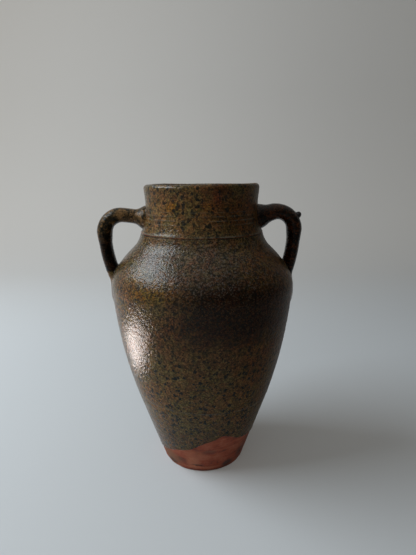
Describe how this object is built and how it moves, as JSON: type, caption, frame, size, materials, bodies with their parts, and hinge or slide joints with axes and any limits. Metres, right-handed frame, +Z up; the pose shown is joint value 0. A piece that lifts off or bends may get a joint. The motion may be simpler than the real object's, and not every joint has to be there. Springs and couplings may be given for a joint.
{
  "type": "two-handled stoneware jar",
  "caption": "Tall shouldered stoneware jar with a straight collar neck, looped strap handles, a speckled olive-brown glaze and a bare foot.",
  "frame": {"origin": "centre of the flat underside of the foot, on the jar's own axis", "axes": "+Z up along the jar's axis, handles along X with the longer-reaching one at -X, front towards -Y"},
  "size_m": [0.2105, 0.1872, 0.3],
  "materials": {
    "bare_clay": "matte",
    "joint_slip": "matte",
    "outer_glaze": "gloss",
    "inner_glaze": "gloss",
    "handle_glaze": "gloss",
    "glaze_bead": "gloss"
  },
  "bodies": {
    "root": {"base_section": "bare_clay", "base_joint_slip": "joint_slip", "body_section": "bare_clay", "collar_joint_slip": "joint_slip", "neck_collar": "bare_clay", "left_handle": "bare_clay", "left_handle_neck_pad": "bare_clay", "left_handle_shoulder_pad": "bare_clay", "left_handle_glaze": "handle_glaze", "right_handle": "bare_clay", "right_handle_neck_pad": "bare_clay", "right_handle_shoulder_pad": "bare_clay", "right_handle_glaze": "handle_glaze", "outer_glaze": "outer_glaze", "inner_glaze": "inner_glaze", "glaze_bead": "glaze_bead"}
  },
  "joints": []
}
